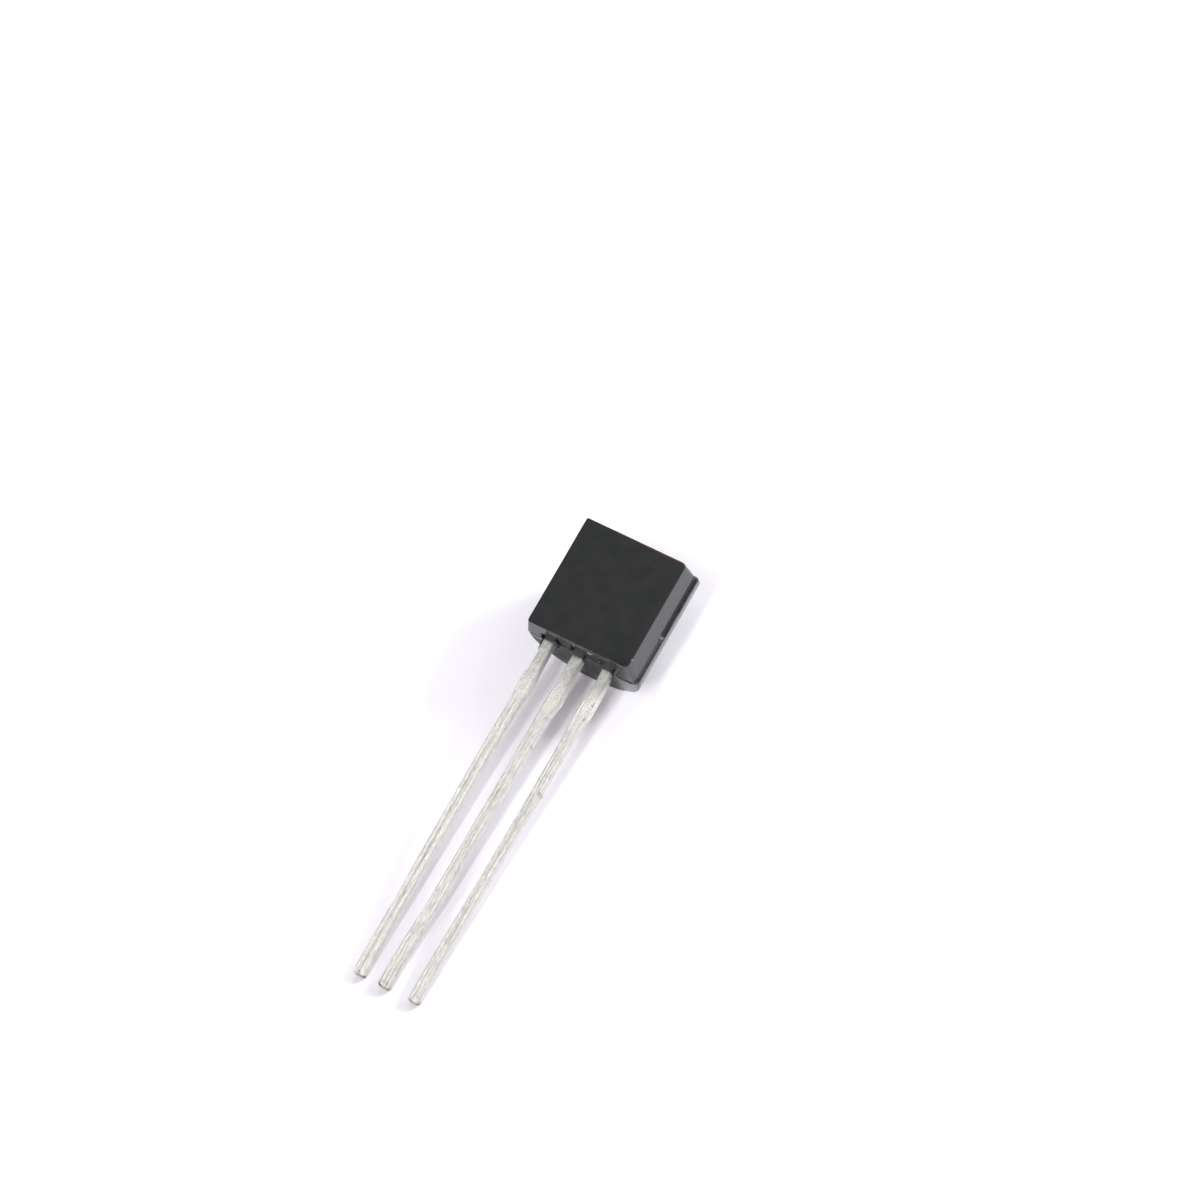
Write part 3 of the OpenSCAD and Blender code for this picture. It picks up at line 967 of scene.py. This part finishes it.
def spot(points, spot_x, spot_y, radius):
    """A soft mask round a place on the lead, seen from above."""
    away_squared = (points[:, 0] - spot_x) ** 2 + (points[:, 1] - spot_y) ** 2
    return np.exp(-away_squared / radius ** 2)


def lead_mesh(name, node, seed):
    distances = np.concatenate([np.arange(-CUT_Y, LEAD_LEN - TIP_ROUND - 0.02, RING_STEP),
                                LEAD_LEN - TIP_ROUND * TIP_STEPS])
    rings = lead_rings(name, distances)
    skin = rings.reshape(-1, 3)
    middle = np.repeat(rings.mean(1), rings.shape[1], 0)
    outward = skin - middle
    outward /= np.linalg.norm(outward, axis=1)[:, None]
    ripple = RIPPLE * noise_at(skin * [1, 0.35, 1], 3.0, seed)
    ripple += RIPPLE * noise_at(skin, 13.0, seed + 1)
    skin += outward * (ripple * smooth_step(-skin[:, 1], 0.0, 0.15))[:, None]
    for nick_x, nick_y, radius, push in NICKS[name]:
        away = np.sign(nick_x - middle[:, 0])
        skin[:, 0] += away * push * spot(skin, nick_x, nick_y, radius)
    whole = bmesh.new()
    whole.from_mesh(loft(rings))
    whole.from_mesh(inner_piece(node))
    bmesh.ops.recalc_face_normals(whole, faces=whole.faces)
    data = bpy.data.meshes.new(name)
    whole.to_mesh(data)
    data.materials.clear()
    data.materials.append(tin)
    return data


print("rings along a lead:", len(np.arange(-CUT_Y, LEAD_LEN, RING_STEP)))

# %% [markdown]
# Marks sit where tools touched the lead, and shade is painted with them. A dark crease along
# the right edge and a dark groove along the top are painted shade, where the edge and the
# furrow turn away from the light. The right sides are darker, partly the dull shear of the
# punch at the root and partly painted shade on sides that face away from the light. The cut
# tip has stains, and its end face is darkened all over, partly stain and partly painted shade.
# Painting an image would fix them to pixels, so they are masks worked out at the vertices,
# which the tin material reads.

# %% Leads: wear, painted shade, marks and the three pieces
CREASE_SHADE = {"left": 0.45, "centre": 0.30, "right": 0.55}
GROOVE_SHADE = {"left": 0.55, "centre": 0.25, "right": 0.35}
SIDE_WEAR_AND_SHADE = {"left": 0.0, "centre": 0.05, "right": 0.2}
BLEED_REACH = {"left": 0.0, "centre": 0.07, "right": 0.055}
SHARP_ANGLE = math.radians(40)


def store_wear_and_shade(name, data, seed):
    points = points_of(data)
    across, along, up = points.T
    stain = hump(along, -LEAD_LEN, 0.2) * smooth_step(noise_at(points, 6.0, seed + 2), -0.05, 0.4)
    # The cut end face is darkened all over, partly stain and partly painted shade.
    cut_end_and_shade = 0.4 * smooth_step(-along, LEAD_LEN - 0.06, LEAD_LEN - 0.01)
    smudge = sum(strength * spot(points, *place) for *place, strength in SMUDGES[name])
    smudge *= 0.6 + 0.6 * noise_at(points, 14.0, seed + 5)
    store(data, STAIN, (stain * 0.7 + cut_end_and_shade + smudge).clip(0, 1))

    bleed_end = along + 0.02 * noise_at(points, 9.0, seed + 3) + BLEED_REACH[name]
    store(data, BLEED, smooth_step(bleed_end, -0.035, 0.0))

    width, middle = course(name, -along)
    u = (across - middle) / (width / 2)
    # Painted shade: the crease on the right edge and the groove along the top.
    crease = CREASE_SHADE[name] * hump(u, 0.84, 0.12)
    crease *= 1 + 0.5 * noise_at(points * [1, 0.4, 1], 2.5, seed + 4)
    groove = GROOVE_SHADE[name] * hump(u, -0.20, 0.07) * smooth_step(along, -2.3, -3.0)
    groove *= 0.8 + 0.9 * noise_at(points * [1, 0.3, 1], 3.0, seed + 6)
    upper_shade = np.maximum(crease, groove) * smooth_step(up, -0.12, -0.03)
    # The right sides: partly dull shear at the root, partly painted shade.
    side_wear_and_shade = SIDE_WEAR_AND_SHADE[name] + 0.3 * smooth_step(along, -1.5, -0.9)
    side_wear_and_shade *= smooth_step(np.abs(u), 0.93, 0.99) * smooth_step(up, -0.04, -0.09)
    store(data, SHEARED_AND_SHADE, np.maximum(upper_shade, side_wear_and_shade).clip(0, 1))


for name, node, seed in (("left", "emitter_lead", 11), ("centre", "collector_lead", 21),
                         ("right", "base_lead", 31)):
    data = lead_mesh(name, node, seed)
    store_wear_and_shade(name, data, seed)
    add_piece(name + "_lead", data, "tinned_lead", node)
    data.shade_smooth()
    data.set_sharp_from_angle(angle=SHARP_ANGLE)

# %% [markdown]
# Trimming the gate and the flash leaves bits behind: a heap of black crumbs to the right of
# the left lead, thin slivers of resin that still hang on beside two leads, and a few small
# flakes and grains of resin. These are pale in colour as a painted glint of the light they
# catch. A crumb is a small ball pushed about by noise. A sliver or a flake is a blade: a flat
# oval section lofted along a bent line, thick in the middle and torn to a point.

# %% Thin resin, painted glints and the shapes
# Painted glint: these pale colours stand for light that thin resin catches.
FILM_GLINT_GREY = (0.50, 0.51, 0.50)
FILM_GLINT_PALE = (0.78, 0.79, 0.78)

glinting_film, tree, shader = new_material("glinting_resin_film")
place = package_vector(tree)
grain = place_group(tree, grain_group, place, Scale=20.0, Patches=6.0)
link(tree, *mix_colors(tree, (grain, "Mask"), FILM_GLINT_GREY, FILM_GLINT_PALE), shader, "Base Color")
link(tree, *ramp(tree, (grain, "Height"), 0.3, 0.7, 0.25, 0.5), shader, "Roughness")
add_bump(tree, shader, (grain, "Height"), 0.000004, 0.6)


def crumb(centre, size, seed):
    """A ragged little ball, squashed a little towards the wall."""
    ball = bmesh.new()
    bmesh.ops.create_icosphere(ball, subdivisions=3, radius=1.0)
    for vert in ball.verts:
        bump = noise.noise(vert.co * 1.3 + Vector((seed, 2.0, 5.0)))
        bump += 0.4 * noise.noise(vert.co * 4 + Vector((seed, 7.0, 1.0)))
        ragged = vert.co * (1 + 0.5 * bump)
        vert.co = Vector(centre) + ragged * Vector((size, size * 0.8, size * 0.9))
    return ball


def blade(path, across, width, thick, seed):
    """A flat oval section along a bent line, widest near its start and torn to a point."""
    path = np.array(path)
    along = np.linspace(0, 1, 24)
    knots = np.linspace(0, 1, len(path))
    line = np.column_stack([np.interp(along, knots, path[:, k]) for k in range(3)])
    across = np.array(across) / np.linalg.norm(across)
    through = np.cross(line[-1] - line[0], across)
    through /= np.linalg.norm(through)
    angles = np.linspace(0, 2 * math.pi, 12, endpoint=False)[:, None]
    rings = []
    for share, point in zip(along, line):
        ragged = 1 + 0.5 * noise.noise(Vector((share * 7, seed, 0)))
        wide = width * (1.08 - share) ** 0.7 * ragged
        deep = thick * (1.1 - share)
        rings.append(point + 0.5 * wide * np.cos(angles) * across
                     + 0.5 * deep * np.sin(angles) * through)
    made = bmesh.new()
    made.from_mesh(loft(np.array(rings)))
    bmesh.ops.recalc_face_normals(made, faces=made.faces)
    return made


print("film nodes:", len(tree.nodes))

# %% [markdown]
# Each bit touches the wall or the lead, so nothing floats. The crumbs are drawn at random
# from a fixed seed: the lower one lies, the farther it is to the right and out of the wall.

# %% Crumbs, slivers and flakes of resin
CRUMBS = 16


def gather(name, parts, material):
    """Joins small parts into one piece."""
    data = bpy.data.meshes.new(name)
    whole = bmesh.new()
    for part in parts:
        part.to_mesh(data)
        whole.from_mesh(data)
    whole.to_mesh(data)
    data.materials.append(material)
    data.shade_smooth()
    add_piece(name, data, "epoxy")


draw = random.Random(7)
heap = []
for index in range(CRUMBS):
    down = draw.random()
    crumb_x = -1.17 + 0.17 * draw.random() + 0.09 * down
    crumb_y = 0.03 - 0.10 * down * draw.random()
    crumb_z = 0.34 - 0.55 * down
    heap.append(crumb((crumb_x, crumb_y, crumb_z), 0.03 + 0.045 * draw.random(), index))
gather("resin_crumbs", heap, epoxy)

left_sliver = [(-1.67, 0.03, -0.03), (-1.665, -0.2, -0.05), (-1.65, -0.42, -0.09)]
right_sliver = [(1.80, 0.09, 0.80), (1.64, 0.03, 0.55), (1.54, -0.08, 0.25), (1.38, -0.33, -0.02)]
gather("resin_slivers", [
    blade(left_sliver, (0, 0.1, 1), 0.22, 0.035, 1),
    blade(right_sliver, (0.8, -0.5, 0.3), 0.17, 0.035, 2),
], epoxy)

# Flakes and grains where glints show. Their pale colour is a painted glint.
middle_flake = [(0.42, 0.055, 0.86), (0.52, 0.03, 0.90), (0.66, 0.055, 0.93)]
corner_flake = [(1.98, 0.37, 1.148), (2.08, 0.42, 1.155), (2.2, 0.49, 1.145)]
gather("glinting_flakes", [
    blade(middle_flake, (0.1, 0.3, 1), 0.06, 0.012, 3),
    blade(corner_flake, (0.6, -0.8, 0.1), 0.035, 0.012, 4),
    crumb((-0.18, 0.07, 0.90), 0.02, 30),
    crumb((0.80, 0.055, 0.35), 0.015, 31),
], glinting_film)

# %% [markdown]
# Inside the body nothing shows, but the pieces are there: the silicon die on its attach, and
# two gold wires from it to the posts. The CAD solids are already their true shapes, so they
# only get their finishes: sawn silicon, a dull solder-like attach and drawn gold.

# %% Die, attach and bond wires


def inner_finish(name, dark, light, metallic, rough_low, rough_high, scale):
    material, tree, shader = new_material(name)
    place = package_vector(tree)
    grain = place_group(tree, grain_group, place, Scale=scale, Patches=scale / 3)
    link(tree, *mix_colors(tree, (grain, "Mask"), dark, light), shader, "Base Color")
    shader.inputs["Metallic"].default_value = metallic
    rough = ramp(tree, (grain, "Height"), 0.3, 0.7, rough_low, rough_high)
    link(tree, *rough, shader, "Roughness")
    add_bump(tree, shader, (grain, "Height"), 0.000003, 0.5)
    return material


silicon = inner_finish("sawn_silicon", (0.09, 0.10, 0.13), (0.14, 0.15, 0.19), 0.6, 0.15, 0.4, 20)
solder = inner_finish("die_attach_solder", (0.42, 0.42, 0.43), (0.55, 0.55, 0.56),
                      1.0, 0.35, 0.6, 30)
gold = inner_finish("drawn_gold", (0.80, 0.56, 0.20), (0.90, 0.66, 0.27), 1.0, 0.18, 0.35, 60)
for node, material in (("silicon_die", silicon), ("die_attach", solder),
                       ("emitter_bond_wire", gold), ("base_bond_wire", gold)):
    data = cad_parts[node].data
    data.materials.clear()
    data.materials.append(material)
    print(node, "takes", material.name)
